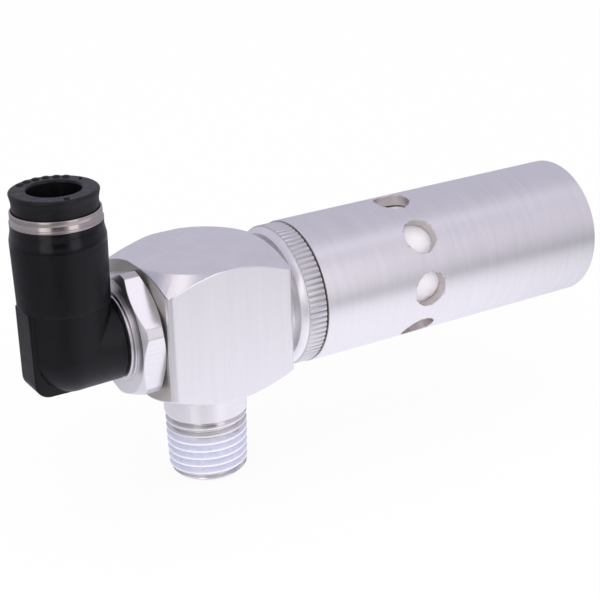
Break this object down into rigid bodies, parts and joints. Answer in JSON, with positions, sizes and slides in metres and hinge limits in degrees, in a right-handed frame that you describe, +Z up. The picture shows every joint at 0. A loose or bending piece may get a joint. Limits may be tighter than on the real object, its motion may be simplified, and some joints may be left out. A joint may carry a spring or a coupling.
{
  "type": "vacuum ejector",
  "caption": "Inline vacuum ejector: square block with a taper-threaded vacuum port below, a swivelling push-in elbow for supply air and a perforated silencer cover.",
  "frame": {"origin": "centre of the taper thread's gauge plane, on the thread axis", "axes": "+Z up along the thread axis, away from the thread; +X along the ejector axis towards the silencer"},
  "size_m": [0.1035, 0.024, 0.0528],
  "materials": {
    "body_aluminium": "satin, clear anodised",
    "plug_aluminium": "satin, turned, clear anodised",
    "base_aluminium": "satin, turned and knurled",
    "cover_aluminium": "satin, clear anodised",
    "thread_coat": "white thread sealant",
    "nickel_plate": "bright nickel plate",
    "band_metal": "fine turned, nickel plated",
    "spring_steel": "thin spring sheet",
    "jet_brass": "turned brass",
    "elbow_plastic": "black, satin",
    "release_plastic": "black, matte",
    "inner_plastic": "black",
    "seal_rubber": "black nitrile",
    "white_foam": "porous white foam"
  },
  "bodies": {
    "block": {"ejector_body": "body_aluminium", "thread_sealant": "thread_coat", "hex_plug": "plug_aluminium", "plug_o_ring": "seal_rubber", "nozzle": "jet_brass", "nozzle_o_ring": "seal_rubber", "swivel_stud": "nickel_plate", "stud_o_ring": "seal_rubber", "silencer_base": "base_aluminium", "base_o_ring": "seal_rubber", "diffuser": "jet_brass", "diffuser_o_ring": "seal_rubber", "silencer_cover": "cover_aluminium", "silencer_element": "white_foam", "element_pad": "white_foam"},
    "elbow": {"elbow_body": "elbow_plastic", "tube_seal": "seal_rubber", "claw_guide": "inner_plastic", "lock_claw": "spring_steel", "retaining_band": "band_metal"},
    "release": {"release_ring": "release_plastic"}
  },
  "joints": [
    {"name": "elbow_swivel", "type": "hinge", "parent": "block", "child": "elbow", "pos_m": [-0.0206, 0, 0.0212], "axis": [1, 0, 0], "continuous": true},
    {"name": "release_press", "type": "slide", "parent": "elbow", "child": "release", "axis": [0, 0, -1], "range_m": [0, 0.0012], "stiffness_N_per_m": 60, "springref_m": -0.002}
  ]
}
